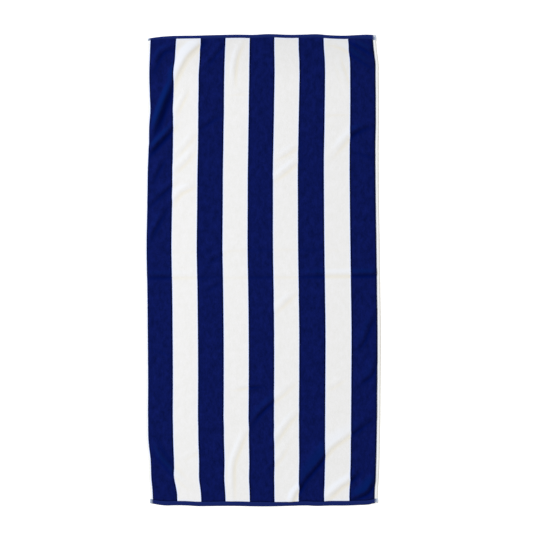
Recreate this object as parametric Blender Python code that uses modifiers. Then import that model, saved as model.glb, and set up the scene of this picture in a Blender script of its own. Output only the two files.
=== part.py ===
"""A beach towel, laid out on the floor: one cotton terry cloth with lengthwise stripes.

The cloth is one closed sheet. Its terry field is thick with loops, its two long edges are thin flat-woven
selvedges, and its two ends are turned hems, which draw the corners in. It lies flat, apart from the creases
that a hand leaves in it. The origin is on the floor under the middle of the towel, +Y is its top end.
"""

import bpy
import numpy as np

MM = 0.001

# Driving dimensions, in millimetres.
WIDTH = 800
LENGTH = 1600
TERRY_THICKNESS = 4.0
SELVEDGE_THICKNESS = 1.6
HEM_THICKNESS = 2.6
LEFT_SELVEDGE = 11.5
RIGHT_SELVEDGE = 13.5
TOP_HEM = 9.5
BOTTOM_HEM = 14.0
PILE_STEP = 3.0  # the loops slope down to the flat-woven rim over this much cloth
STRIPES = 9

# How fine the cloth is modelled: the cell that the creases are shaped on, and the share of faces kept.
CELL = 6.5
FACES_KEPT = 0.055

# Each long side, from the top end to the bottom: how far it lies from the middle line.
SIDES = (
    # along, left, right
    (800, -390, 387),
    (750, -392, 391),
    (710, -393.5, 396),
    (650, -394.5, 396.5),
    (590, -391.5, 397),
    (545, -389.5, 397),
    (495, -393.5, 397.5),
    (425, -394.5, 396.5),
    (375, -398.5, 396.5),
    (220, -401.5, 398),
    (60, -404, 400.5),
    (-60, -401.5, 402),
    (-220, -400, 404),
    (-380, -398.5, 403),
    (-510, -398, 402),
    (-590, -396, 400.5),
    (-640, -390.5, 399.5),
    (-710, -387, 397),
    (-755, -383.5, 394),
    (-800, -382, 393.5),
)

# Each end, from left to right: how far its hem is drawn in from the full length.
ENDS = (
    # across, top, bottom
    (-400, 17, 9.5),
    (-366, 12, 7.5),
    (-326, 7.5, 4),
    (-270, 5.5, 3),
    (-190, 4.5, 1),
    (-90, 2.5, 1.2),
    (15, 0, 0),
    (95, 2.5, 1.5),
    (175, 0.8, 2.2),
    (235, 4.5, 2.8),
    (290, 5, 3),
    (335, 3, 4.5),
    (370, 2, 7),
    (400, 3, 8.5),
)
DRAWN_IN_OVER = 160  # the hems pull on this much of the length

# Each crease stands as a soft ridge. Its line runs down or to the left, and its feet lie this far from the
# crest, on the side towards the top left corner and on the other side. Some lines start or end past the
# cloth, because the crease runs off its edge.
CREASES = {
    # name: (height, upper foot, lower foot, line)
    "top corner": (8, 28, 34, ((-150, 840), (-205, 778), (-260, 736), (-297, 667), (-334, 577), (-400, 430))),
    "top corner, outer": (4.0, 30, 32, ((-275, 815), (-315, 782), (-354, 748), (-430, 675))),
    "left edge, first": (4.6, 22, 24, ((-270, 530), (-341, 453), (-440, 350))),
    "left edge, second": (3.2, 20, 20, ((-280, 330), (-341, 276), (-430, 195))),
    "left edge, third": (2.6, 20, 20, ((-320, 240), (-361, 163), (-400, 84))),
    "top hem": (3.0, 20, 24, ((-30, 830), (-85, 738), (-98, 682), (-102, 610))),
    "middle, upper": (2.2, 24, 24, ((140, 448), (82, 405), (20, 370))),
    "middle, lower": (3.0, 22, 22, ((140, 394), (78, 345), (20, 299))),
    "right, upper": (3.4, 28, 28, ((390, 522), (307, 480), (257, 426), (205, 360))),
    "storage fold, right": (2.8, 24, 30, ((470, -2), (340, -4), (160, -8), (-60, -11))),
    "storage fold, left": (1.8, 22, 26, ((40, -10), (-120, -13), (-260, -15), (-470, -16))),
    "middle, low": (2.2, 26, 22, ((124, -58), (73, -112), (26, -165))),
    "right edge, first": (2.6, 22, 24, ((400, -140), (345, -223), (290, -295))),
    "right edge, second": (2.2, 24, 22, ((410, -312), (348, -358), (290, -404))),
    "low middle, first": (2.8, 26, 24, ((122, -350), (54, -424), (7, -462), (-62, -522))),
    "low middle, second": (3.2, 24, 24, ((124, -462), (70, -520), (34, -584))),
    "low right": (5.6, 32, 30, ((440, -470), (348, -512), (249, -574), (164, -674), (118, -722), (84, -830))),
    "bottom hem, left": (3.4, 20, 24, ((-38, -540), (-79, -598), (-98, -640), (-103, -682), (-92, -760))),
    "bottom hem, right": (4.4, 28, 26, ((350, -645), (290, -703), (254, -735), (170, -800))),
    "bottom corner": (4.0, 30, 38, ((430, -675), (342, -740), (270, -790))),
}
CREASE_FADE = 0.42  # a crease dies away over this share of its line at each end
RIM_REST = 30  # the selvedges and hems come down to the floor over this much cloth
LINE_STEPS = 8  # a crease's line is drawn as this many straight steps between two of its points

NAVY = (0.004, 0.009, 0.089, 1)  # linear
WHITE = (0.87, 0.87, 0.86, 1)


def clear_scene():
    for item in list(bpy.data.objects):
        bpy.data.objects.remove(item, do_unlink=True)


def ease(share):
    """0 up to 0, 1 from 1 on, and a soft S between."""
    share = np.clip(share, 0, 1)
    return share * share * (3 - 2 * share)


def curve_through(stations, values, at):
    """A smooth curve through the values, read at the places asked for."""
    stations, values = np.array(stations, float), np.array(values, float)
    order = np.argsort(stations)
    stations, values = stations[order], values[order]
    slopes = np.gradient(values, stations)
    first = np.clip(np.searchsorted(stations, at) - 1, 0, len(stations) - 2)
    gap = stations[first + 1] - stations[first]
    share = (at - stations[first]) / gap
    rest = 1 - share
    level = values[first] * rest**2 * (1 + 2 * share) + values[first + 1] * share**2 * (1 + 2 * rest)
    return level + gap * share * rest * (slopes[first] * rest - slopes[first + 1] * share)


def even_stations(low, high):
    """Places a cell apart, both ends included."""
    return np.linspace(low, high, round((high - low) / CELL) + 1)


def rim_stations(half, low_rim, high_rim):
    """Where the cloth's rows or columns lie: a strip for each rim and its pile step, then even cells."""
    field = even_stations(low_rim + PILE_STEP - half, half - high_rim - PILE_STEP)
    return np.concatenate([[-half, low_rim - half], field, [half - high_rim, half]])


def lay_out(across, along):
    """Where a point of the flat cloth comes to lie: its sides bulge and its hems draw the ends in."""
    row_at, left, right = zip(*SIDES)
    low = curve_through(row_at, left, along)
    high = curve_through(row_at, right, along)
    column_at, top, bottom = zip(*ENDS)
    down = curve_through(column_at, top, across)
    up = curve_through(column_at, bottom, across)
    drawn = np.where(along > 0, -down, up)
    near_end = ease((np.abs(along) - LENGTH / 2 + DRAWN_IN_OVER) / DRAWN_IN_OVER)
    return low + (across / WIDTH + 0.5) * (high - low), along + drawn * near_end


def drawn_line(points):
    """A crease's line as many short steps."""
    points = np.array(points, float)
    share = np.linspace(0, len(points) - 1, (len(points) - 1) * LINE_STEPS + 1)
    steps = np.arange(len(points))
    return np.stack([curve_through(steps, points[:, axis], share) for axis in (0, 1)], axis=1)


def crease_height(x, y, height, upper_foot, lower_foot, points):
    """How far one crease lifts the cloth at each place."""
    line = drawn_line(points)
    nearest = np.full(x.shape, np.inf)
    side = np.zeros(x.shape)
    reach = np.zeros(x.shape)
    travelled = 0
    for start, end in zip(line[:-1], line[1:]):
        step = end - start
        length = np.hypot(*step)
        share = np.clip(((x - start[0]) * step[0] + (y - start[1]) * step[1]) / length**2, 0, 1)
        off_x = x - start[0] - share * step[0]
        off_y = y - start[1] - share * step[1]
        distance = np.hypot(off_x, off_y)
        closer = distance < nearest
        nearest = np.where(closer, distance, nearest)
        side = np.where(closer, step[0] * off_y - step[1] * off_x, side)
        reach = np.where(closer, travelled + share * length, reach)
        travelled += length
    foot = np.where(side > 0, lower_foot, upper_foot)
    profile = 0.5 + 0.5 * np.cos(np.pi * np.clip(nearest / foot, 0, 1))
    fade = CREASE_FADE * travelled
    return height * profile * ease(reach / fade) * ease((travelled - reach) / fade)


def lift(x, y, across, along):
    """How far the creases lift the underside off the floor. Where two meet, the higher one counts."""
    raised = np.zeros(x.shape)
    for height, upper_foot, lower_foot, points in CREASES.values():
        raised = np.maximum(raised, crease_height(x, y, height, upper_foot, lower_foot, points))
    from_side = WIDTH / 2 - np.abs(across)
    from_end = LENGTH / 2 - np.abs(along)
    return raised * ease(from_side / RIM_REST) * ease(from_end / RIM_REST)


def thickness_shares(across, along):
    """How thick the cloth is at each place, as a share of the terry's thickness."""
    in_selvedge = (across <= LEFT_SELVEDGE - WIDTH / 2) | (across >= WIDTH / 2 - RIGHT_SELVEDGE)
    in_hem = (along <= BOTTOM_HEM - LENGTH / 2) | (along >= LENGTH / 2 - TOP_HEM)
    shares = np.where(in_selvedge, SELVEDGE_THICKNESS, TERRY_THICKNESS)
    return np.where(in_hem, HEM_THICKNESS, shares) / TERRY_THICKNESS


def stripe_material():
    """Cotton terry in navy and white stripes, an even share of the width each, navy outermost."""
    material = bpy.data.materials.new("striped cotton terry")
    material.use_nodes = True
    nodes, links = material.node_tree.nodes, material.node_tree.links
    shader = nodes["Principled BSDF"]
    shader.inputs["Roughness"].default_value = 0.95
    shader.inputs["Metallic"].default_value = 0
    place = nodes.new("ShaderNodeTexCoord")
    parts = nodes.new("ShaderNodeSeparateXYZ")
    links.new(place.outputs["Object"], parts.inputs[0])
    wave = nodes.new("ShaderNodeMath")  # positive on a navy stripe, negative on a white one
    wave.operation = "COSINE"
    pitch = nodes.new("ShaderNodeMath")
    pitch.operation = "MULTIPLY"
    stripe_width = (WIDTH - LEFT_SELVEDGE - RIGHT_SELVEDGE) * MM / STRIPES
    pitch.inputs[1].default_value = np.pi / stripe_width
    links.new(parts.outputs["X"], pitch.inputs[0])
    links.new(pitch.outputs[0], wave.inputs[0])
    navy = nodes.new("ShaderNodeMath")
    navy.operation = "GREATER_THAN"
    navy.inputs[1].default_value = 0
    links.new(wave.outputs[0], navy.inputs[0])
    colour = nodes.new("ShaderNodeMix")
    colour.data_type = "RGBA"
    colour.inputs["A"].default_value = WHITE
    colour.inputs["B"].default_value = NAVY
    links.new(navy.outputs[0], colour.inputs["Factor"])
    links.new(colour.outputs["Result"], shader.inputs["Base Color"])
    return material


def make_towel():
    columns = rim_stations(WIDTH / 2, LEFT_SELVEDGE, RIGHT_SELVEDGE)
    rows = rim_stations(LENGTH / 2, BOTTOM_HEM, TOP_HEM)
    bpy.ops.mesh.primitive_grid_add(x_subdivisions=len(columns) - 1, y_subdivisions=len(rows) - 1, size=2)
    towel = bpy.context.object
    towel.name = "towel"
    towel.data.name = "towel"

    # The grid is the cloth's underside: each of its points is one of the flat cloth, laid in its place.
    points = np.empty((len(towel.data.vertices), 3))
    towel.data.vertices.foreach_get("co", points.ravel())
    column_of = np.rint((points[:, 0] + 1) / 2 * (len(columns) - 1)).astype(int)
    row_of = np.rint((points[:, 1] + 1) / 2 * (len(rows) - 1)).astype(int)
    across, along = columns[column_of], rows[row_of]
    x, y = lay_out(across, along)
    laid = np.stack([x, y, lift(x, y, across, along)], axis=1) * MM
    towel.data.vertices.foreach_set("co", laid.ravel())

    thick = towel.vertex_groups.new(name="thickness")
    for index, share in enumerate(thickness_shares(across, along)):
        thick.add([index], share, "REPLACE")
    return towel


def finish_cloth(towel):
    """Gives the sheet its thickness, thins out the faces where it is flat, and sets it down on the floor."""
    cloth = towel.modifiers.new("cloth", "SOLIDIFY")
    cloth.thickness = TERRY_THICKNESS * MM
    cloth.offset = 1
    cloth.vertex_group = "thickness"
    fewer = towel.modifiers.new("fewer faces", "DECIMATE")
    fewer.ratio = FACES_KEPT
    for modifier in ("cloth", "fewer faces"):
        bpy.ops.object.modifier_apply(modifier=modifier)
    nearly_down = 0.15 * MM
    for vertex in towel.data.vertices:
        if vertex.co.z < nearly_down:
            vertex.co.z = 0
    towel.data.shade_smooth()
    towel.data.set_sharp_from_angle(angle=np.radians(40))
    towel.data.materials.append(stripe_material())


def main():
    clear_scene()
    parts = bpy.data.collections.new("beach towel")
    bpy.context.scene.collection.children.link(parts)
    towel = make_towel()
    finish_cloth(towel)
    for collection in list(towel.users_collection):
        collection.objects.unlink(towel)
    parts.objects.link(towel)


main()
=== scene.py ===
"""The looks of a striped beach towel, laid out on a pale studio floor and seen from straight above.

One cotton terry cloth, woven in nine lengthwise stripes, navy and white by turns. Its pile stops short of
two narrow flat-woven selvedges and of two turned and stitched hems. Sizes are in millimetres, and metres
where a comment says so. The towel's own run across it from its middle line and along it from its middle,
and every point of the flat cloth is then laid in its place.
"""

import bpy
import numpy as np
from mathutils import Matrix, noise


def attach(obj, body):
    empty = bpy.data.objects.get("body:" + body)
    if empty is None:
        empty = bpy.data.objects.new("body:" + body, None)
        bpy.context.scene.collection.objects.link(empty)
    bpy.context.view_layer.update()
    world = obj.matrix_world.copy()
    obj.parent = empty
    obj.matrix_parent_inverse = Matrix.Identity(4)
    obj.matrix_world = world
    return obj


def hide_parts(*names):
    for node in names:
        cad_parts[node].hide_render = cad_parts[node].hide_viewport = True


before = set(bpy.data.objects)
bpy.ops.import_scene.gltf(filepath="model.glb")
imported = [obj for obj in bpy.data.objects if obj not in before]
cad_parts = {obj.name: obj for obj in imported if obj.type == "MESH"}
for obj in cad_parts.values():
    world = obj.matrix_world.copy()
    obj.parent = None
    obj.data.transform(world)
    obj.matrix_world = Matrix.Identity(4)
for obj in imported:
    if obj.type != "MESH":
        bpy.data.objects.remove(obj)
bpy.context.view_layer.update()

MM = 0.001  # in metres

# The towel as it was woven and sewn.
WIDTH = 800
LENGTH = 1600
LEFT_SELVEDGE = 10.5
RIGHT_SELVEDGE = 11.2
TOP_HEM = 12.5
BOTTOM_HEM = 16.7
STRIPES = (84.3, 86.3, 86.3, 85.7, 85.3, 85.7, 88.3, 88.8, 87.7)  # from left to right, navy first
TERRY_THICKNESS = 4.0  # with the pile on both faces

# Each long side, from the top end to the bottom: how far it lies from the middle line.
SIDES = (
    # along, left, right
    (800, -390, 384.5),
    (750, -392, 388.5),
    (710, -393.5, 393.5),
    (650, -394.5, 394.4),
    (590, -392.6, 395.2),
    (545, -391.2, 395.2),
    (495, -394.3, 395.3),
    (425, -395.8, 394),
    (375, -398.5, 394),
    (220, -401.5, 395.5),
    (60, -404, 398),
    (-60, -401.5, 399.5),
    (-220, -400, 401.5),
    (-380, -398.8, 400.5),
    (-510, -399, 399.5),
    (-590, -396.5, 398),
    (-640, -390.5, 397),
    (-710, -387.6, 394.5),
    (-755, -383.5, 391.5),
    (-800, -382, 391),
)

# Each end, from left to right: how far its edge is drawn in from the full length, and how wide its hem shows.
# Where the edge bulges past the full length, the first number is below 0.
ENDS = (
    # across, top edge in, top hem, bottom edge in, bottom hem
    (-400, 13, 7.5, 8.5, 14.9),
    (-380, 10, 8.5, 5.2, 15.2),
    (-363, 7.6, 9.7, 2.4, 15.6),
    (-342, 5.6, 10.4, 0.8, 15.8),
    (-320, 4.1, 11, 1.4, 15.9),
    (-297, 3.6, 11.3, 1.5, 15.9),
    (-265, 3.1, 11.5, 0.6, 16),
    (-237, 2.9, 11.7, -1.2, 16.2),
    (-190, 1.6, 12, -1.2, 16.4),
    (-140, 0.4, 12.3, -0.7, 16.6),
    (-90, -0.4, 12.5, -0.8, 16.8),
    (-35, 0.2, 12.5, -2, 16.3),
    (15, -2.2, 12.5, -2.2, 15.9),
    (95, 0.1, 12.5, -0.4, 15),
    (150, -0.9, 12.5, 0.8, 15.6),
    (185, -2, 12.5, -0.7, 16),
    (235, 1.6, 13, 0.5, 17),
    (290, 3, 13, 0.7, 17),
    (335, 1, 14, 2.4, 16.4),
    (370, -0.3, 16, 4.6, 15.9),
    (387, 0.4, 17.2, 8.2, 15.9),
    (400, 0.9, 18.5, 9.6, 15.9),
)
DRAWN_IN_OVER = 160  # the hems pull on this much of the length

# Near the hems the weave is pulled sideways, so that the stripes jog there: how far to the right it lies at
# three places across the towel. It lies true at both selvedges, and in the middle half of the length.
PULLED_AT = (0.0, 0.11, 0.33, 0.66, 1.0)  # shares of the width between the selvedges
PULLED = (
    # along, at 0.11, at 0.33, at 0.66
    (800, 6.2, 5.8, 5.4),
    (752, 3.8, 4.0, 4.1),
    (711, 3.2, 1.6, 3.2),
    (691, 1.0, 1.0, 3.0),
    (670, -0.8, 1.0, 3.8),
    (630, -1.6, 0, 2.8),
    (589, -3.4, -1.6, 1.2),
    (548, -6.0, -2.7, -0.1),
    (507, -3.2, -1.8, 0),
    (426, -1.7, -1.1, 0),
    (385, -0.3, -0.3, 0),
    (340, 0, 0, 0),
    (300, 0, 0, 0),
    (-440, 0, 0, 0),
    (-480, 0, 0, 0),
    (-505, 0, 0, 0),
    (-530, 0.3, 0.8, 0.5),
    (-560, 0.2, 0.7, 0.5),
    (-591, -0.3, 0.3, 0.6),
    (-632, -3.1, -1.6, -0.2),
    (-672, -4.5, -2.6, -0.7),
    (-713, -3.8, -3.5, -0.8),
    (-733, -1.2, -2.8, -0.4),
    (-754, 1.1, -2.2, -0.8),
    (-800, 1.0, -1.0, -0.4),
)

# Each crease stands as a soft ridge. Its line runs down or to the left, and its feet lie this far from the
# crest, on the side towards the top left corner and on the other side. Some lines start or end past the
# cloth, because the crease runs off its edge.
CREASES = {
    # name: (height, upper foot, lower foot, line)
    "top corner": (7.0, 44, 26, ((-188, 800), (-222, 770), (-259, 735), (-288, 688))),
    "top corner, lower": (6.0, 44, 24, ((-225, 768), (-259, 733), (-287, 686), (-307, 640), (-324, 598))),
    "top corner, down the side": (5.6, 22, 34, (
        (-290, 708), (-320, 618), (-340, 570), (-363, 508), (-402, 410),
    )),
    "top corner, outer": (2.6, 24, 22, (
        (-262, 790), (-305, 759), (-339, 750), (-360, 722), (-376, 684), (-390, 640),
    )),
    "top corner, inner": (1.8, 20, 18, ((-110, 800), (-137, 772), (-168, 734), (-196, 700), (-212, 670))),
    "top corner, inside": (2.6, 18, 15, ((-250, 635), (-264, 603), (-278, 576), (-294, 542), (-305, 505))),
    "top hem, first": (3.2, 20, 18, ((-60, 815), (-74, 773), (-93, 728), (-102, 661), (-100, 590))),
    "top hem, last": (3.4, 34, 18, (
        (420, 668), (380, 693), (345, 714), (318, 733), (285, 755), (251, 769), (180, 785),
    )),
    "top hem, corner": (3.4, 24, 16, ((400, 712), (372, 742), (340, 762), (300, 782), (270, 795))),
    "top hem, beside the corner": (2.2, 24, 13, ((246, 740), (255, 722), (265, 691), (280, 647), (292, 605))),
    "first navy stripe": (4.4, 21, 23, ((-270, 530), (-341, 453), (-440, 350))),
    "first navy stripe, between": (1.7, 22, 17, (
        (-315, 405), (-333, 386), (-350, 360), (-366, 330), (-390, 280),
    )),
    "first navy stripe, second": (2.0, 24, 18, ((-267, 336), (-338, 272), (-427, 191))),
    "first navy stripe, third": (2.2, 22, 20, ((-320, 240), (-361, 163), (-400, 84))),
    "first white stripe": (2.2, 26, 22, ((-205, 500), (-224, 481), (-254, 443), (-288, 403), (-320, 370))),
    "first white stripe, second": (2.6, 26, 20, (
        (-210, 430), (-234, 410), (-268, 372), (-305, 335), (-325, 310),
    )),
    "first white stripe, third": (3.1, 26, 20, (
        (-205, 300), (-237, 291), (-268, 277), (-288, 264), (-312, 226), (-322, 200),
    )),
    "third stripe": (1.8, 26, 18, ((-130, 545), (-165, 523), (-213, 489), (-240, 465))),
    "fourth stripe, upper": (1.1, 20, 14, ((-40, 604), (-70, 606), (-105, 604), (-135, 602))),
    "middle, upper": (2.5, 28, 18, ((140, 448), (82, 405), (20, 370))),
    "middle, lower": (3.2, 25, 20, ((145, 399), (78, 345), (10, 291))),
    "right, level": (1.3, 26, 16, ((310, 537), (245, 537), (180, 530))),
    "right, upper": (3.2, 32, 22, ((400, 508), (365, 497), (307, 473), (257, 423), (205, 360))),
    "right, lower": (1.8, 26, 18, ((395, 383), (360, 396), (325, 408), (300, 414))),
    "upper fold": (0.8, 40, 18, ((470, 66), (200, 80), (-60, 78), (-270, 71), (-470, 66))),
    "storage fold, right": (3.5, 28, 20, ((800, -6), (370, -8), (-60, -13))),
    "storage fold, middle": (1.6, 28, 20, ((330, -9), (100, -12), (-260, -15))),
    "storage fold, left": (2.4, 26, 22, ((-70, -13), (-370, -14), (-670, -18))),
    "third stripe, upper": (1.2, 30, 16, ((-60, 105), (-105, 84), (-150, 54), (-207, 23), (-230, 12))),
    "third stripe, lower": (1.2, 30, 16, ((-120, -20), (-149, -35), (-190, -59), (-215, -76))),
    "middle, low": (2.7, 28, 20, ((124, -55), (105, -72), (75, -101), (40, -135), (26, -160))),
    "left edge, low": (1.0, 24, 18, ((-270, -292), (-312, -279), (-376, -255), (-410, -240))),
    "right edge, first": (2.2, 56, 17, ((410, -110), (370, -165), (340, -235), (326, -255), (290, -300))),
    "right edge, between": (1.0, 40, 14, ((362, -235), (356, -258), (346, -298), (333, -335), (320, -360))),
    "right edge, second": (2.2, 60, 15, ((415, -270), (380, -313), (368, -348), (340, -372), (300, -402))),
    "eighth stripe, low": (1.7, 24, 15, ((290, -352), (271, -364), (245, -383), (217, -401), (200, -415))),
    "fourth stripe, level": (2.2, 18, 12, ((20, -384), (-44, -390), (-91, -398), (-125, -402))),
    "low middle, first": (2.7, 40, 17, (
        (150, -335), (109, -372), (58, -420), (4, -463), (-44, -520), (-80, -585),
    )),
    "low middle, second": (3.1, 26, 20, (
        (142, -445), (119, -471), (90, -503), (65, -537), (44, -571), (22, -622),
    )),
    "low middle, third": (1.9, 18, 15, (
        (95, -555), (85, -578), (66, -615), (46, -644), (17, -669), (-20, -695),
    )),
    "low right": (3.8, 84, 16, (
        (440, -480), (367, -506), (316, -537), (238, -592), (188, -652), (135, -714), (102, -763), (70, -840),
    )),
    "low right, in white": (4.1, 24, 19, ((330, -528), (290, -553), (250, -581), (213, -612), (185, -650))),
    "low right, at the hem": (5.0, 26, 18, ((160, -690), (135, -714), (119, -739), (102, -763), (80, -830))),
    "bottom hem, left": (3.3, 22, 19, (
        (-10, -480), (-59, -541), (-93, -620), (-104, -656), (-106, -714), (-100, -840),
    )),
    "bottom hem, right": (4.4, 34, 20, (
        (350, -655), (322, -681), (290, -709), (260, -729), (224, -763), (180, -810),
    )),
    "bottom corner, left": (3.6, 28, 17, (
        (-215, -760), (-275, -710), (-329, -652), (-354, -618), (-373, -580), (-400, -530),
    )),
    "bottom corner, right": (4.6, 60, 17, ((425, -680), (370, -724), (351, -749), (322, -763), (270, -785))),
    "second stripe, low": (1.3, 22, 14, (
        (-190, -592), (-214, -603), (-237, -617), (-264, -632), (-285, -645),
    )),
}
CREASE_SHARPNESS = 2  # the power that makes a crest narrower and its feet softer
CREASE_FADE = 0.42  # a crease dies away over this share of its line at each end
LINE_STEPS = 6  # a crease's line is drawn as this many straight steps between two of its points
RIM_REST = 30  # towards the towel's edges the creases die away over this much cloth

# Besides its creases the sheet is uneven all over: long low ripples that lean as they do, and two sizes of
# lumps.
UNEVEN = (
    # to the left for each step up, width, length, height
    (-0.8, 26, 90, 0.8),
    (0.2, 40, 60, 0.8),
    (0, 13, 18, 0.35),
)

# The pile rounds down at its edge, and its columns and rows of points stand closer together there.
TUCK = 1.0  # where pile and flat weave meet, each runs this far in under the other
PILE_ROUNDING = 5.0
PILE_AT_EDGE = 0.3  # its thickness at the very edge, as a share of the full one
PILE_EDGE_LINES = (-TUCK, 0.2, 1.5, 3.5, 6.5)

# Each selvedge's height over the floor: at its outer edge, past the bevel there, along its middle, at the
# pile and where it ends under the pile.
LEFT_SELVEDGE_HEIGHTS = (1.0, 1.9, 1.8, 1.7, 1.3)
RIGHT_SELVEDGE_HEIGHTS = (1.0, 2.3, 2.9, 1.9, 1.3)
SELVEDGE_BEVEL = 1.5
SELVEDGE_LINES = (0, 0.5, 1.5, 3, 5, 7, 9)  # its lines of points, from the outer edge in
SELVEDGE_LAST_LINES = (-1.5, 0, TUCK)  # the rest of them, from the pile's edge in
SELVEDGE_SHORT = 2  # its ends stay this far inside the hems' outer edges

# A hem is a low roll. Its lines of points lie at a share of its width from the outer edge, and so much
# further in, and each has its height over the floor.
HEM_ROLL = (
    # share of the width, further in, height
    (0, 0, 0.3),
    (0, 0.4, 1.0),
    (0, 1.0, 1.6),
    (0, 2.0, 2.1),
    (0, 3.2, 2.5),
    (0.4, 0, 3.0),
    (0.55, 0, 3.2),
    (0.7, 0, 3.3),
    (1, -3.2, 3.2),
    (1, -2.6, 3.1),
    (1, -2.2, 3.0),
    (1, -1.8, 3.0),
    (1, -1, 3.0),
    (1, 0, 2.8),
    (1, TUCK, 1.4),
)

# The hems' lock stitches. The thread pulls the hem down, most of all between two stitches.
STITCH_PITCH = 3.0
STITCH_LENGTH = 2.3
STITCH_THREAD = 0.6
STITCH_HEIGHT = 2.8  # of a stitch's middle over the floor
STITCHES_FROM_PILE = 2.2
STITCHES_SHORT = 4  # the row stops this far from each side
PINCH_DEPTH = 0.4
PINCH_WIDTH = 1.2
PINCH_SWING = 0.3  # the pinch eases by twice this share under the middle of a stitch

# How fine the pieces are modelled.
TERRY_CELL = 5.5
SELVEDGE_CELL = 2.0
HEM_CELL = 1.5
SHARP_ANGLE = 50  # in degrees: an edge that turns more than this stays sharp

# Real loops stand about 1.5 mm apart and real threads 0.5 mm. Both are drawn coarser, so that they show.
LOOP_PITCH = 2.6
THREAD_PITCH = 1.2
RIB_DEPTH = 0.15
PLY_DEPTH = 0.1
PARTED_PATCH = 18  # the loops part in patches of about this size
PATCHES_ALONG = 0.65  # lengthwise there are this share as many patches, so each is drawn out that way
DARKER_PATCH = 9  # the flat weave is a little darker in patches of about this size
WAVE_LENGTH = 0.314  # of a Wave Texture whose scale is 1, in metres

# The pile's colours: at rest, where its loops part, a painted cool highlight on a crest, painted light and
# shade beside the other colour (a cool highlight on the white, shade on the navy), and painted shade in a
# furrow.
WHITE_PILE = ("F4F3F6", "E9E8E6", "F0F2F9", "EDF1FE", "EFEBE3")
NAVY_PILE = ("131E69", "04092F", "061B59", "070A2B", "041257")
MINGLED_PILE = "9CB2FF"  # the narrow band where loops of both colours stand side by side

# Where a tint starts, and where it is full.
NAVY_BAND = (-0.2, 0.4)  # into a navy stripe
MINGLED_BAND = (-1.2, -0.6)  # into a navy stripe, so on the white side of its edge
PAINTED_EDGE_LIGHT_BAND = (6.5, 2.5)  # from the change of colour, and for navy from the pile's side, for white from its end: painted light and shade there
PAINTED_HIGHLIGHT_BAND = (1.5, 4.5)  # how far a crease lifts the cloth, for its painted cool highlight
PAINTED_FURROW_SHADE_BAND = (0.04, 1.0)  # how far the cloth lies below the cloth around it, for the painted shade in a furrow
PAINTED_TOP_SHADE_BAND = (LENGTH / 2 - 170, LENGTH / 2)  # along the towel: at the top its white is painted a little greyer, a painted shade
WHITE_SIDE_BAND = (10, 6)  # from the side of the cloth; on the white selvedges the cooler white further in, beside the pile, is a painted highlight
NAVY_SIDE_BAND = (12, 2)  # from the side of the cloth
FRAY = 0.8  # the loops make the edge between two colours waver by this much
PALE_SIDE = 0.7  # the white ground shows through at the outer edge of the navy pile
LIT_SIDE = 5  # a crest's painted cool highlight lies a little way down its side towards the light
# A furrow is judged partly from the side towards the light, so its painted shade falls in a crease's lee.
FURROW_BESIDE = ((-9, 9), (6, 6), (-6, -6))  # the cloth around a furrow lies this far to the right and up

# A slope looks steeper than it is by this share of its steepness, or gentler where the share is below 0. The
# dark pile shades itself and shows every slope. Light passes through the white loops and evens it out.
WHITE_RELIEF = -0.72
NAVY_RELIEF = 1.5
WHITE_LOOP_DEPTH = 0.22  # how deep the gaps between the loops look
NAVY_LOOP_DEPTH = 0.6

# The studio, in metres, with its lights' colours as linear red, green and blue.
FLOOR_SIZE = 80
KEY_LIGHT = (-2.2, 1.7, 2.0)
KEY_LIGHT_COLOUR = (0.81, 0.89, 1.0)
SIDE_LIGHT = (-2.4, 0.3, 1.5)
SIDE_LIGHT_SIZE = (0.8, 4)
ROOM_COLOUR = (1.0, 0.945, 0.83, 1)
CAMERA_PLACE = (0.0137, 0.0126, 4.274)

# Settings that several nodes share. A Mix node of colours takes its share as input 0 and its two colours as
# inputs 6 and 7, and gives its colour as output 2.
MIX = {"data_type": "RGBA"}
MULTIPLY = {"data_type": "RGBA", "blend_type": "MULTIPLY"}
SMOOTH = {"interpolation_type": "SMOOTHSTEP"}
FLAT_NOISE = {"noise_dimensions": "2D"}


def ease(share):
    """0 up to 0, 1 from 1 on, and a soft S between."""
    share = np.clip(share, 0, 1)
    return share * share * (3 - 2 * share)


def curve_through(stations, values, at):
    """A smooth curve through the values, read at the places asked for."""
    stations, values = np.array(stations, float), np.array(values, float)
    order = np.argsort(stations)
    stations, values = stations[order], values[order]
    slopes = np.gradient(values, stations)
    first = np.clip(np.searchsorted(stations, at) - 1, 0, len(stations) - 2)
    gap = stations[first + 1] - stations[first]
    share = (at - stations[first]) / gap
    rest = 1 - share
    level = values[first] * rest**2 * (1 + 2 * share) + values[first + 1] * share**2 * (1 + 2 * rest)
    return level + gap * share * rest * (slopes[first] * rest - slopes[first + 1] * share)


def pulled_sideways(across, along):
    """How far to the right the hems' pull has moved the weave."""
    inner = WIDTH - LEFT_SELVEDGE - RIGHT_SELVEDGE
    share = np.clip((across + WIDTH / 2 - LEFT_SELVEDGE) / inner, 0, 1)
    row_at, *columns = zip(*PULLED)
    pulls = [np.zeros(np.shape(along))]
    pulls += [curve_through(row_at, column, along) for column in columns]
    pulls.append(pulls[0])
    total = np.zeros(np.shape(along))
    for start, end, low, high in zip(PULLED_AT, PULLED_AT[1:], pulls, pulls[1:]):
        within = (share >= start) & (share <= end)
        mix = ease((share - start) / (end - start))
        total = np.where(within, low + (high - low) * mix, total)
    return total


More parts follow.
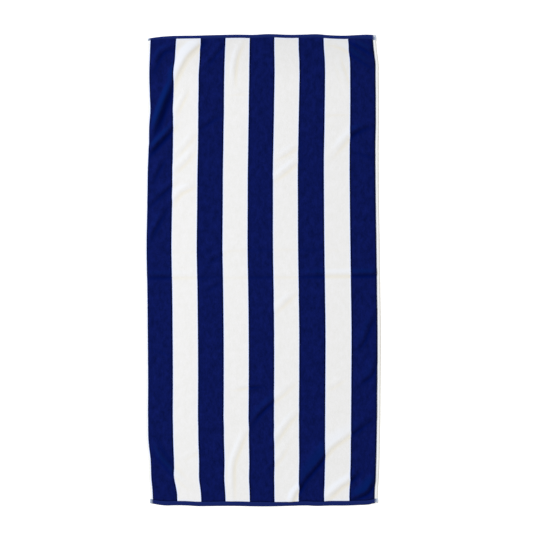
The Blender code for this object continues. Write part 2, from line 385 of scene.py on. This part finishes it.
def lay_out(across, along):
    """Where a point of the flat cloth comes to lie: its sides bulge and its hems draw the ends in."""
    row_at, left, right = zip(*SIDES)
    low = curve_through(row_at, left, along)
    high = curve_through(row_at, right, along)
    column_at, top_in, top_hem, bottom_in, bottom_hem = zip(*ENDS)
    down = curve_through(column_at, top_in, across)
    down_at_pile = down + curve_through(column_at, top_hem, across) - TOP_HEM
    up = curve_through(column_at, bottom_in, across)
    up_at_pile = up + curve_through(column_at, bottom_hem, across) - BOTTOM_HEM
    in_top_hem = np.clip((along - LENGTH / 2 + TOP_HEM) / TOP_HEM, 0, 1)
    in_bottom_hem = np.clip((BOTTOM_HEM - LENGTH / 2 - along) / BOTTOM_HEM, 0, 1)
    down = down_at_pile + (down - down_at_pile) * in_top_hem
    up = up_at_pile + (up - up_at_pile) * in_bottom_hem
    near_end = ease((np.abs(along) - LENGTH / 2 + DRAWN_IN_OVER) / (DRAWN_IN_OVER - TOP_HEM))
    x = low + (across / WIDTH + 0.5) * (high - low) + pulled_sideways(across, along)
    return x, along + np.where(along > 0, -down, up) * near_end


def drawn_line(points):
    """A crease's line as many short steps."""
    points = np.array(points, float)
    share = np.linspace(0, len(points) - 1, (len(points) - 1) * LINE_STEPS + 1)
    steps = np.arange(len(points))
    return np.stack([curve_through(steps, points[:, axis], share) for axis in (0, 1)], axis=1)


def crease_height(x, y, height, upper_foot, lower_foot, points):
    """How far one crease lifts the cloth at each place."""
    line = drawn_line(points)
    nearest = np.full(x.shape, np.inf)
    side = np.zeros(x.shape)
    reach = np.zeros(x.shape)
    travelled = 0
    for start, end in zip(line[:-1], line[1:]):
        step = end - start
        length = np.hypot(*step)
        share = np.clip(((x - start[0]) * step[0] + (y - start[1]) * step[1]) / length**2, 0, 1)
        off_x = x - start[0] - share * step[0]
        off_y = y - start[1] - share * step[1]
        distance = np.hypot(off_x, off_y)
        closer = distance < nearest
        nearest = np.where(closer, distance, nearest)
        side = np.where(closer, step[0] * off_y - step[1] * off_x, side)
        reach = np.where(closer, travelled + share * length, reach)
        travelled += length
    foot = np.where(side > 0, lower_foot, upper_foot)
    profile = (0.5 + 0.5 * np.cos(np.pi * np.clip(nearest / foot, 0, 1))) ** CREASE_SHARPNESS
    fade = CREASE_FADE * travelled
    return height * profile * ease(reach / fade) * ease((travelled - reach) / fade)


def lift(x, y, across, along):
    """How far the creases lift the underside off the floor. Where two meet, the higher one counts."""
    raised = np.zeros(x.shape)
    for height, upper_foot, lower_foot, points in CREASES.values():
        raised = np.maximum(raised, crease_height(x, y, height, upper_foot, lower_foot, points))
    from_side = WIDTH / 2 - np.abs(across)
    from_end = LENGTH / 2 - np.abs(along)
    return raised * ease(from_side / RIM_REST) * ease(from_end / RIM_REST)


def hollow(x, y, across, along):
    """How far the cloth lies below the cloth around it, as in the furrow beside a crease."""
    around = 0
    for right, up in FURROW_BESIDE:
        around = around + lift(x + right, y + up, across, along) / len(FURROW_BESIDE)
    return np.maximum(around - lift(x, y, across, along), 0)


def unevenness(across, along):
    """How far the ripples and lumps lift the underside off the floor."""
    rise = np.zeros(across.shape)
    for slant, width, length, height in UNEVEN:
        sideways = (across + along * slant) / np.hypot(1, slant) / width
        lengthwise = (along - across * slant) / np.hypot(1, slant) / length
        for index, place in enumerate(zip(sideways, lengthwise)):
            rise[index] += height * (0.5 + 0.5 * noise.noise((*place, width)))
    return rise


def select_only(piece):
    bpy.ops.object.select_all(action="DESELECT")
    piece.select_set(True)
    bpy.context.view_layer.objects.active = piece


def add_grid(name, columns, rows):
    """A flat grid with a point for each column and row, and where each point lies on the flat cloth."""
    bpy.ops.object.select_all(action="DESELECT")
    bpy.ops.mesh.primitive_grid_add(x_subdivisions=len(columns) - 1, y_subdivisions=len(rows) - 1, size=2)
    piece = bpy.context.object
    piece.name = name
    piece.data.name = name
    points = np.empty((len(piece.data.vertices), 3))
    piece.data.vertices.foreach_get("co", points.ravel())
    column_of = np.rint((points[:, 0] + 1) / 2 * (len(columns) - 1)).astype(int)
    row_of = np.rint((points[:, 1] + 1) / 2 * (len(rows) - 1)).astype(int)
    across, along = columns[column_of], rows[row_of]
    corners = np.empty(len(piece.data.loops), int)
    piece.data.loops.foreach_get("vertex_index", corners)
    piece.data.uv_layers.active.name = "cloth"
    cloth = np.stack([across[corners], along[corners]], axis=1) * MM
    piece.data.uv_layers["cloth"].uv.foreach_set("vector", cloth.ravel())
    return piece, across, along


def set_points(piece, x, y, z):
    """Puts the piece's points at these places, given in millimetres."""
    points = np.stack([x, y, z], axis=1) * MM
    piece.data.vertices.foreach_set("co", points.ravel())
    piece.data.update()


def even_stations(low, high, cell):
    """Places about a cell apart, both ends included."""
    return np.linspace(low, high, round((high - low) / cell) + 1)


def pile_stations(breaks):
    """The terry's columns or rows: close together where the pile rounds down at its edge, then even cells.

    Each break in the weave, such as a change of colour, has a station of its own.
    """
    edge = np.array(PILE_EDGE_LINES)
    first, last = breaks[0], breaks[-1]
    stops = [first + edge[-1], *breaks[1:-1], last - edge[-1]]
    field = [even_stations(low, high, TERRY_CELL)[:-1] for low, high in zip(stops, stops[1:])]
    return np.concatenate([first + edge[:-1], *field, stops[-1:], last - edge[-2::-1]])


def pile_fullness(from_edge):
    """The cloth's thickness near the pile's edge, as a share of the full pile."""
    to_full = 1 - np.clip((from_edge + TUCK) / PILE_ROUNDING, 0, 1)
    return PILE_AT_EDGE + (1 - PILE_AT_EDGE) * np.sqrt(1 - to_full**2)


def stripe_edges():
    """Where the stripes start and end, from left to right."""
    return np.concatenate([[0], np.cumsum(STRIPES)]) + LEFT_SELVEDGE - WIDTH / 2


def srgb(code):
    """A colour's six-digit code as linear red, green, blue and alpha."""
    parts = [int(code[start:start + 2], 16) / 255 for start in (0, 2, 4)]
    return (*[p / 12.92 if p <= 0.04045 else ((p + 0.055) / 1.055) ** 2.4 for p in parts], 1)


def add_node(tree, kind, settings=None, inputs=None):
    """Adds a node with its settings. An input is a value, or the output that it is linked to."""
    node = tree.nodes.new("ShaderNode" + kind)
    for key, value in (settings or {}).items():
        setattr(node, key, value)
    for key, value in (inputs or {}).items():
        if isinstance(value, bpy.types.NodeSocket):
            tree.links.new(value, node.inputs[key])
        else:
            node.inputs[key].default_value = value
    return node


def new_material(name):
    """A material with its node tree and its shader."""
    material = bpy.data.materials.new(name)
    material.use_nodes = True
    return material, material.node_tree, material.node_tree.nodes["Principled BSDF"]


def terry_material():
    """Cotton terry, woven from dyed yarn with standing loops on both faces.

    It is matt, and its loops give it a fine speckle. Where the colours meet, painted shade deepens the navy
    and a painted cool highlight lies on the white; so it does towards the pile's sides on the navy and its
    ends on the white. A crest has a painted cool highlight on its lit side, a furrow has painted shade, and
    the white is painted a little greyer towards the top end. The dark pile shows every slope of the cloth,
    and the white one evens them out.
    """
    material, tree, shader = new_material("yarn-dyed cotton terry")
    cloth = add_node(tree, "UVMap", {"uv_map": "cloth"}).outputs["UV"]
    along = add_node(tree, "SeparateXYZ", {}, {0: cloth}).outputs["Y"]
    into_navy, from_change, highlight_lift, sunk = [
        add_node(tree, "Attribute", {"attribute_name": name}).outputs["Fac"]
        for name in ("into_navy", "from_change", "highlight_lift", "hollow")
    ]
    loops = add_node(tree, "TexVoronoi", {}, {"Vector": cloth, "Scale": 1 / (LOOP_PITCH * MM)})
    off_loop = loops.outputs["Distance"]
    frayed = add_node(
        tree, "Math", {"operation": "MULTIPLY_ADD"}, {0: off_loop, 1: FRAY * MM, 2: into_navy}
    ).outputs[0]
    navy, mingled, painted_edge_light_and_shade, painted_crest_highlight, painted_furrow_shade, painted_top_shade = [
        add_node(
            tree, "MapRange", passage, {"Value": measure, "From Min": start * MM, "From Max": full * MM}
        ).outputs["Result"]
        for measure, (start, full), passage in (
            (frayed, NAVY_BAND, SMOOTH),
            (frayed, MINGLED_BAND, SMOOTH),
            (from_change, PAINTED_EDGE_LIGHT_BAND, SMOOTH),
            (highlight_lift, PAINTED_HIGHLIGHT_BAND, {}),
            (sunk, PAINTED_FURROW_SHADE_BAND, {}),
            (along, PAINTED_TOP_SHADE_BAND, {}),
        )
    ]

    drawn_out = add_node(tree, "Mapping", {}, {"Vector": cloth, "Scale": (1, PATCHES_ALONG, 1)}).outputs[0]
    parted = add_node(
        tree, "TexNoise", FLAT_NOISE,
        {"Vector": drawn_out, "Scale": 1 / (PARTED_PATCH * MM), "Detail": 3.0, "Roughness": 0.85},
    ).outputs["Fac"]
    piles = []
    for at_rest, *tints in (WHITE_PILE, NAVY_PILE):
        pile = srgb(at_rest)
        # Painted light: a cool highlight on a crest's lit side, light and shade beside a change of colour,
        # shade in a furrow.
        for share, tint in zip((parted, painted_crest_highlight, painted_edge_light_and_shade, painted_furrow_shade), tints):
            pile = add_node(tree, "Mix", MIX, {0: share, 6: pile, 7: srgb(tint)}).outputs[2]
        piles.append(pile)
    white_pile, navy_pile = piles
    # Painted shade: the white is a little greyer towards the top end.
    ground = add_node(tree, "Mix", MULTIPLY, {0: painted_top_shade, 6: white_pile, 7: srgb("F6F6F6")}).outputs[2]
    mixed = add_node(tree, "Mix", MIX, {0: mingled, 6: ground, 7: srgb(MINGLED_PILE)}).outputs[2]
    colour = add_node(tree, "Mix", MIX, {0: navy, 6: mixed, 7: navy_pile}).outputs[2]
    tree.links.new(colour, shader.inputs["Base Color"])

    # Each slope is made to look steeper or gentler, and then the loops are raised on it.
    facing = add_node(tree, "NewGeometry").outputs["Normal"]
    tilt = add_node(tree, "VectorMath", {"operation": "SUBTRACT"}, {0: facing, 1: (0, 0, 1)}).outputs[0]
    relief, depth = [
        add_node(tree, "MapRange", {}, {"Value": navy, "To Min": white, "To Max": dark}).outputs[0]
        for white, dark in (
            (WHITE_RELIEF, NAVY_RELIEF),
            (WHITE_LOOP_DEPTH * MM, NAVY_LOOP_DEPTH * MM),
        )
    ]
    more = add_node(tree, "VectorMath", {"operation": "SCALE"}, {0: tilt, "Scale": relief}).outputs[0]
    leaning = add_node(tree, "VectorMath", {"operation": "ADD"}, {0: facing, 1: more}).outputs[0]
    turned = add_node(tree, "VectorMath", {"operation": "NORMALIZE"}, {0: leaning}).outputs[0]
    bump = add_node(
        tree, "Bump", {"invert": True}, {"Height": off_loop, "Distance": depth, "Normal": turned}
    )
    tree.links.new(bump.outputs["Normal"], shader.inputs["Normal"])
    shader.inputs["Roughness"].default_value = 0.95
    shader.inputs["Specular IOR Level"].default_value = 0.1
    shader.inputs["Specular Tint"].default_value = srgb("007CFF")
    return material


def flat_weave_material(name, code, side_code, side_band):
    """Flat-woven cotton, with no loops: matt, finely ribbed by its threads, and a little darker in patches.

    Its colour turns to the other one near the sides of the cloth. On the white selvedges the cooler white
    further in, beside the pile, is a painted cool highlight.
    """
    material, tree, shader = new_material(name)
    cloth = add_node(tree, "UVMap", {"uv_map": "cloth"}).outputs["UV"]
    across = add_node(tree, "SeparateXYZ", {}, {0: cloth}).outputs["X"]
    from_middle = add_node(tree, "Math", {"operation": "ABSOLUTE"}, {0: across}).outputs[0]
    start, full = [(WIDTH / 2 - from_side) * MM for from_side in side_band]
    beside = add_node(
        tree, "MapRange", {}, {"Value": from_middle, "From Min": start, "From Max": full}
    ).outputs[0]
    dyed = add_node(tree, "Mix", MIX, {0: beside, 6: srgb(code), 7: srgb(side_code)}).outputs[2]
    patches = add_node(
        tree, "TexNoise", FLAT_NOISE, {"Vector": cloth, "Scale": 1 / (DARKER_PATCH * MM), "Detail": 2.0}
    ).outputs["Fac"]
    worn = add_node(tree, "Mix", MULTIPLY, {0: patches, 6: dyed, 7: srgb("FAFAF9")}).outputs[2]
    tree.links.new(worn, shader.inputs["Base Color"])
    ribs = add_node(
        tree, "TexWave", {"bands_direction": "X"},
        {"Vector": cloth, "Scale": WAVE_LENGTH / (THREAD_PITCH * MM)},
    ).outputs["Fac"]
    bump = add_node(tree, "Bump", {}, {"Height": ribs, "Distance": RIB_DEPTH * MM})
    tree.links.new(bump.outputs["Normal"], shader.inputs["Normal"])
    shader.inputs["Roughness"].default_value = 0.85
    shader.inputs["Specular IOR Level"].default_value = 0.1
    return material


def thread_material():
    """Spun polyester thread: slanting ridges run round it, and it is a little glossier than the cotton.

    Diagonal bands repeat after twice the pitch along the thread, so there is about one ridge to a stitch.
    """
    material, tree, shader = new_material("plied navy polyester thread")
    place = add_node(tree, "TexCoord").outputs["Object"]
    plies = add_node(
        tree, "TexWave", {"bands_direction": "DIAGONAL"},
        {"Vector": place, "Scale": WAVE_LENGTH / (THREAD_PITCH * MM)},
    ).outputs["Fac"]
    dyed = add_node(tree, "Mix", MIX, {0: plies, 6: srgb("0E1A55"), 7: srgb("1B2C78")}).outputs[2]
    tree.links.new(dyed, shader.inputs["Base Color"])
    bump = add_node(tree, "Bump", {}, {"Height": plies, "Distance": PLY_DEPTH * MM})
    tree.links.new(bump.outputs["Normal"], shader.inputs["Normal"])
    shader.inputs["Roughness"].default_value = 0.5
    shader.inputs["Specular IOR Level"].default_value = 0.3
    return material


def add_measure(piece, name, values):
    """Gives each of the piece's points its value, in millimetres, for the material to read."""
    measure = piece.data.attributes.new(name, "FLOAT", "POINT")
    measure.data.foreach_set("value", values * MM)


def make_terry():
    """The terry field: a sheet with full pile on both faces, whose edge rounds down to the flat weave."""
    edges = stripe_edges()
    left, right = edges[0], edges[-1]
    bottom = BOTTOM_HEM - LENGTH / 2
    top = LENGTH / 2 - TOP_HEM
    terry, across, along = add_grid("terry_cloth", pile_stations(edges), pile_stations([bottom, top]))
    terry.data.materials.append(terry_material())
    x, y = lay_out(across, along)
    set_points(terry, x, y, lift(x, y, across, along) + unevenness(across, along))

    stripe = np.clip(np.searchsorted(edges, across) - 1, 0, len(STRIPES) - 1)
    is_navy = stripe % 2 == 0
    off_edge = np.min(np.abs(across[:, None] - edges[1:-1]), axis=1)
    from_side = np.minimum(across - left, right - across)
    from_end = np.minimum(along - bottom, top - along)
    navy_side = np.minimum(off_edge, from_side - PALE_SIDE)
    add_measure(terry, "into_navy", np.where(is_navy, navy_side, -off_edge))
    add_measure(terry, "from_change", np.minimum(off_edge, np.where(is_navy, from_side, from_end)))
    # Where a crest's painted cool highlight goes: the lift a little way down from the light.
    add_measure(terry, "highlight_lift", lift(x + LIT_SIDE, y - LIT_SIDE, across, along))
    # Where a furrow's painted shade goes.
    add_measure(terry, "hollow", hollow(x, y, across, along))

    thick = terry.vertex_groups.new(name="thickness")
    for index, share in enumerate(pile_fullness(np.minimum(from_side, from_end))):
        thick.add([index], share, "REPLACE")
    cloth = terry.modifiers.new("cloth", "SOLIDIFY")
    cloth.thickness = TERRY_THICKNESS * MM
    cloth.offset = 1
    cloth.vertex_group = "thickness"
    select_only(terry)
    bpy.ops.object.modifier_apply(modifier="cloth")
    terry.data.shade_smooth()
    return terry


def close_below(piece):
    """Gives an open top surface its walls and a flat underside on the floor."""
    select_only(piece)
    bpy.ops.object.mode_set(mode="EDIT")
    bpy.ops.mesh.select_all(action="SELECT")
    bpy.ops.mesh.extrude_region_move()
    bpy.ops.transform.resize(value=(1, 1, 0), center_override=(0, 0, 0))
    bpy.ops.mesh.select_all(action="SELECT")
    bpy.ops.mesh.normals_make_consistent(inside=False)
    bpy.ops.object.mode_set(mode="OBJECT")
    piece.data.shade_smooth()
    bpy.ops.object.shade_smooth_by_angle(angle=np.radians(SHARP_ANGLE))


def make_selvedge(name, outer, width, heights, material):
    """A flat-woven edge down one long side. It starts at outer, and runs in under the pile."""
    inwards = -np.sign(outer)
    steps = np.concatenate([SELVEDGE_LINES, np.add(width, SELVEDGE_LAST_LINES)])
    heights = np.interp(steps, [0, SELVEDGE_BEVEL, width / 2, width, width + TUCK], heights)
    columns = outer + inwards * steps
    order = np.argsort(columns)
    rows = even_stations(-LENGTH / 2 + SELVEDGE_SHORT, LENGTH / 2 - SELVEDGE_SHORT, SELVEDGE_CELL)
    piece, across, along = add_grid(name, columns[order], rows)
    x, y = lay_out(across, along)
    set_points(piece, x, y, np.interp(across, columns[order], heights[order]))
    close_below(piece)
    piece.data.materials.append(material)
    return piece


def make_hem(name, end, width, material):
    """A hem turned under twice: a low roll, with its row of stitches pulled down beside the pile."""
    inwards = -np.sign(end)
    share, further, rolled = np.array(HEM_ROLL).T
    rows = end + inwards * (share * width + further)
    order = np.argsort(rows)
    piece, across, along = add_grid(name, even_stations(-WIDTH / 2, WIDTH / 2, HEM_CELL), rows[order])
    x, y = lay_out(across, along)
    height = np.interp(along, rows[order], rolled[order])
    from_stitches = np.abs(np.abs(along) - abs(end) + width - STITCHES_FROM_PILE)
    pinch = 1 - PINCH_SWING + PINCH_SWING * np.cos(2 * np.pi * across / STITCH_PITCH)
    height = height - PINCH_DEPTH * pinch * np.exp(-((from_stitches / PINCH_WIDTH) ** 2))
    set_points(piece, x, y, height)
    close_below(piece)
    piece.data.materials.append(material)
    return piece


def make_stitches(name, end, width, material):
    """The hem's row of lock stitches, each a short straight stretch of thread.

    A stitch starts as a ball 1 mm across and is drawn out to its length and thickness.
    """
    along = end - np.sign(end) * (width - STITCHES_FROM_PILE)
    bpy.ops.object.select_all(action="DESELECT")
    bpy.ops.mesh.primitive_uv_sphere_add(segments=6, ring_count=4, radius=MM / 2)
    stitch = bpy.context.object
    stitch.name = name
    stitch.data.name = name
    bpy.ops.object.mode_set(mode="EDIT")
    bpy.ops.transform.resize(value=(STITCH_LENGTH, STITCH_THREAD, STITCH_THREAD))
    bpy.ops.object.mode_set(mode="OBJECT")
    count = int((WIDTH - 2 * STITCHES_SHORT) / STITCH_PITCH)
    row = stitch.modifiers.new("row", "ARRAY")
    row.count = count
    row.use_relative_offset = False
    row.use_constant_offset = True
    row.constant_offset_displace = (STITCH_PITCH * MM, 0, 0)
    bpy.ops.object.modifier_apply(modifier="row")
    points = np.empty((len(stitch.data.vertices), 3))
    stitch.data.vertices.foreach_get("co", points.ravel())
    points /= MM
    across = points[:, 0] - (count - 1) * STITCH_PITCH / 2
    x, y = lay_out(across, along + points[:, 1])
    set_points(stitch, x, y, points[:, 2] + STITCH_HEIGHT)
    stitch.data.shade_smooth()
    stitch.data.materials.append(material)
    return stitch


def make_stage():
    """A pale floor that runs on past every view, half a millimetre under the towel.

    It is matt white paper, and a faint glow of its own keeps it even.
    """
    bpy.ops.object.select_all(action="DESELECT")
    bpy.ops.mesh.primitive_plane_add(size=FLOOR_SIZE, location=(0, 0, -0.5 * MM))
    floor = bpy.context.object
    floor.name = "studio_floor"
    material, _, shader = new_material("white paper floor")
    shader.inputs["Base Color"].default_value = srgb("F8F8F8")
    shader.inputs["Roughness"].default_value = 0.9
    shader.inputs["Specular IOR Level"].default_value = 0.1
    shader.inputs["Emission Color"].default_value = srgb("FFFFFF")
    shader.inputs["Emission Strength"].default_value = 0.35
    floor.data.materials.append(material)


def add_light(name, kind, place):
    """A light at this place, turned towards the middle of the towel."""
    lamp = bpy.data.lights.new(name, kind)
    light = bpy.data.objects.new(name, lamp)
    bpy.context.collection.objects.link(light)
    light.location = place
    light.rotation_euler = light.location.to_track_quat("Z", "Y").to_euler()
    return lamp


def make_lights():
    """A soft cool key light from past the top left corner and a strip to the left, in a bright warm room."""
    world = bpy.data.worlds.new("studio")
    bpy.context.scene.world = world
    world.use_nodes = True
    room = world.node_tree.nodes["Background"]
    room.inputs["Color"].default_value = ROOM_COLOUR
    room.inputs["Strength"].default_value = 0.485
    key = add_light("key light", "SUN", KEY_LIGHT)
    key.energy = 2.25
    key.angle = np.radians(16)
    key.color = KEY_LIGHT_COLOUR
    side = add_light("side light", "AREA", SIDE_LIGHT)
    side.energy = 36
    side.shape = "RECTANGLE"
    side.size, side.size_y = SIDE_LIGHT_SIZE


def make_camera():
    """Straight above the towel, close to its middle, with a long lens."""
    lens = bpy.data.cameras.new("camera")
    lens.lens = 85
    camera = bpy.data.objects.new("camera", lens)
    bpy.context.collection.objects.link(camera)
    camera.location = CAMERA_PLACE
    bpy.context.scene.camera = camera


def main():
    bpy.context.scene.view_settings.view_transform = "Standard"
    make_camera()
    make_stage()
    make_lights()
    terry = make_terry()
    # The white selvedges' cooler white beside the pile is a painted highlight.
    white_weave = flat_weave_material("flat-woven white cotton", "FAFBFF", "FDFCFA", WHITE_SIDE_BAND)
    navy_weave = flat_weave_material("flat-woven navy cotton", "112265", "BCC8DC", NAVY_SIDE_BAND)
    thread = thread_material()
    selvedges = [
        make_selvedge("left_selvedge", -WIDTH / 2, LEFT_SELVEDGE, LEFT_SELVEDGE_HEIGHTS, white_weave),
        make_selvedge("right_selvedge", WIDTH / 2, RIGHT_SELVEDGE, RIGHT_SELVEDGE_HEIGHTS, white_weave),
    ]
    hems = [
        make_hem("top_hem", LENGTH / 2, TOP_HEM, navy_weave),
        make_hem("bottom_hem", -LENGTH / 2, BOTTOM_HEM, navy_weave),
    ]
    seams = [
        make_stitches("top_hem_stitches", LENGTH / 2, TOP_HEM, thread),
        make_stitches("bottom_hem_stitches", -LENGTH / 2, BOTTOM_HEM, thread),
    ]
    for piece in [terry, *selvedges, *hems, *seams]:
        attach(piece, "root")
    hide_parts("towel")


main()
